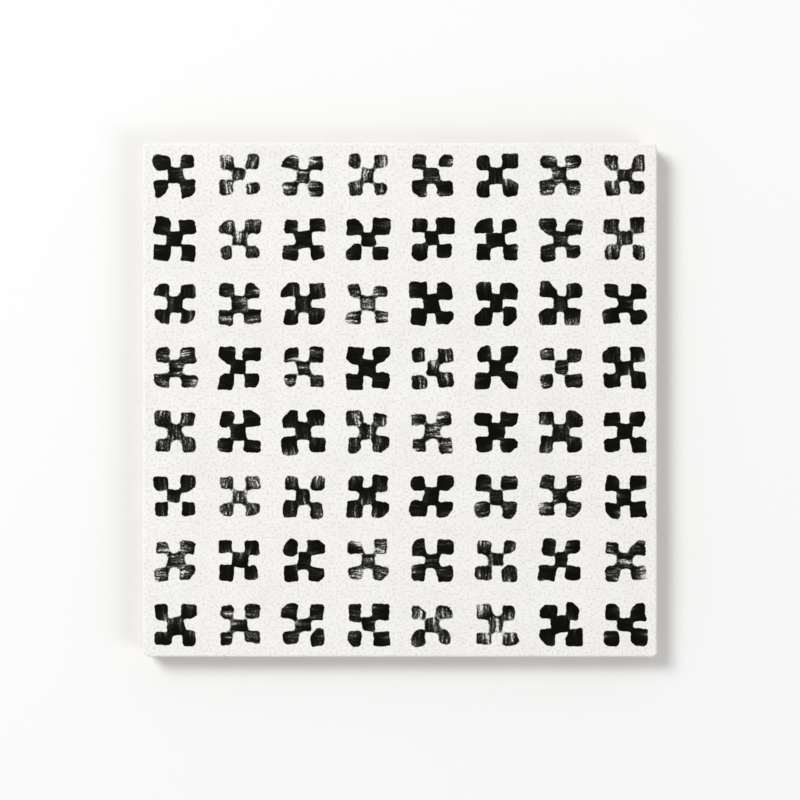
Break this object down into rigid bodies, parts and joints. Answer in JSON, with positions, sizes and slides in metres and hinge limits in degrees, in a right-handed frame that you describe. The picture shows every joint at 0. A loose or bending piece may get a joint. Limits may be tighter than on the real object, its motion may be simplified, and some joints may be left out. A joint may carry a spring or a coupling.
{
  "type": "cement-look tile",
  "caption": "Square pressed ceramic floor and wall tile with eased edges, a keyed back and a matt cement-look face covered in hand-painted cross-stitch motifs.",
  "frame": {"origin": "middle of the back, on the plane of the ribs that the tile is bedded on", "axes": "+Z out of the printed face, +X and +Y along two sides of the tile, parallel to the rows of motifs"},
  "size_m": [0.2, 0.2, 0.01],
  "materials": {
    "fired_body": "matt off-white glaze with a black hand-painted pattern"
  },
  "bodies": {
    "root": {"tile": "fired_body"}
  },
  "joints": []
}
